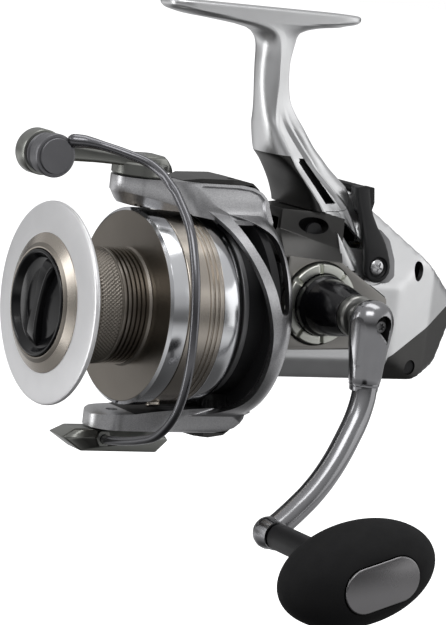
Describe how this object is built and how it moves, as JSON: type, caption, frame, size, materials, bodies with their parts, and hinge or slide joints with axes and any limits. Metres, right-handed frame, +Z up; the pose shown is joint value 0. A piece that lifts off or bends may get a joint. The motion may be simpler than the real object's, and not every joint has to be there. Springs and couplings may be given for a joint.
{
  "type": "spinning reel",
  "caption": "Large spinning reel with a bait feeder lever, long-cast spool, full bail, curved crank and an oval knob.",
  "frame": {"origin": "middle of the foot's top face, where the rod's reel seat meets it", "axes": "+X forward along the main shaft towards the spool's front, +Y to the handle side, +Z up out of the foot into the rod"},
  "size_m": [0.1793, 0.1757, 0.1891],
  "materials": {
    "silver_satin": "satin anodised",
    "rotor_silver": "metallic paint",
    "gunmetal": "satin metallic",
    "warm_grey": "satin",
    "cap_satin": "satin anodised",
    "black_gloss": "gloss",
    "black_soft": "matte soft grip",
    "black_satin": "satin",
    "smoke_chrome": "smoked chrome",
    "dark_satin_metal": "satin",
    "champagne": "anodised, polished",
    "polished": "polished",
    "steel": "ground",
    "brass_gear": "machined",
    "felt": "dry felt",
    "grey_cast": "cast"
  },
  "bodies": {
    "frame": {"body": "silver_satin", "side_cover": "silver_satin", "front_panel": "gunmetal", "side_plate": "warm_grey", "rear_cap": "gunmetal", "handle_cap": "cap_satin", "right_cap": "gunmetal", "left_bearing": "steel", "right_bearing": "steel", "pinion_bearing": "steel", "roller_clutch": "steel", "guide_rod": "steel", "osc_axle": "steel", "feeder_housing": "grey_cast", "feeder_washers": "steel", "lever_boss": "grey_cast", "cover_screws": "steel", "trim_screws": "black_satin"},
    "feeder_lever": {"feeder_lever": "black_satin", "lever_shaft": "steel", "lever_screws": "steel"},
    "rotor": {"rotor": "rotor_silver", "inner_cup": "black_satin", "rotor_nut": "steel", "clutch_sleeve": "steel", "pinion": "brass_gear", "upper_arm_cover": "gunmetal", "lower_arm_cover": "gunmetal", "bail_spring": "steel", "arm_screws": "steel"},
    "bail": {"bail_lever": "dark_satin_metal", "bail_wire": "dark_satin_metal", "wire_boss": "grey_cast", "lower_bail_arm": "dark_satin_metal", "bail_pivot_screws": "steel", "roller_pin": "steel"},
    "line_roller": {"line_roller": "black_gloss"},
    "shaft": {"main_shaft": "steel", "slider": "grey_cast", "spool_seat": "black_satin"},
    "spool": {"spool": "champagne", "spool_lip": "polished", "line_clip": "champagne", "drag_discs": "steel", "drag_felts": "felt"},
    "drag_knob": {"drag_knob": "black_gloss", "drag_spring": "steel"},
    "osc_gear": {"osc_gear": "brass_gear"},
    "crank": {"drive_gear": "brass_gear", "drive_shaft": "steel", "crank_sleeve": "black_gloss", "crank_collar": "smoke_chrome", "crank_arm": "smoke_chrome", "lock_screw": "black_satin", "knob_pin": "steel"},
    "knob": {"knob": "black_soft", "knob_sleeve": "black_soft", "knob_plate": "smoke_chrome"}
  },
  "joints": [
    {"name": "crank_turn", "type": "hinge", "parent": "frame", "child": "crank", "pos_m": [-0.0224, 0, -0.1002], "axis": [0, 1, 0], "continuous": true},
    {"name": "rotor_turn", "type": "hinge", "parent": "frame", "child": "rotor", "pos_m": [0, 0, -0.1072], "axis": [1, 0, 0], "continuous": true},
    {"name": "oscillation_gear_turn", "type": "hinge", "parent": "frame", "child": "osc_gear", "pos_m": [-0.04431, 0, -0.1072], "axis": [0, 1, 0], "continuous": true},
    {"name": "spool_travel", "type": "slide", "parent": "frame", "child": "shaft", "axis": [1, 0, 0], "range_m": [0, 0.016]},
    {"name": "spool_drag", "type": "hinge", "parent": "shaft", "child": "spool", "pos_m": [0, 0, -0.1072], "axis": [1, 0, 0], "continuous": true},
    {"name": "drag_knob_turn", "type": "hinge", "parent": "shaft", "child": "drag_knob", "pos_m": [0, 0, -0.1072], "axis": [1, 0, 0], "range_deg": [-360, 360]},
    {"name": "bail_flip", "type": "hinge", "parent": "rotor", "child": "bail", "pos_m": [0.042, 0, -0.1072], "axis": [0, 0, -1], "range_deg": [0, 125]},
    {"name": "line_roller_turn", "type": "hinge", "parent": "bail", "child": "line_roller", "pos_m": [0.0795, 0, -0.0559], "axis": [0, 1, 0], "continuous": true},
    {"name": "feeder_lever_swing", "type": "hinge", "parent": "frame", "child": "feeder_lever", "pos_m": [-0.046, 0, -0.0866], "axis": [0, -1, 0], "range_deg": [0, 28]},
    {"name": "knob_turn", "type": "hinge", "parent": "crank", "child": "knob", "pos_m": [0.0152, 0.1215, -0.1714], "axis": [0, 1, 0], "continuous": true}
  ],
  "couplings": [
    {"joint": "rotor_turn", "follows": "crank_turn", "ratio": 4.5556},
    {"joint": "oscillation_gear_turn", "follows": "crank_turn", "ratio": -0.35294}
  ]
}
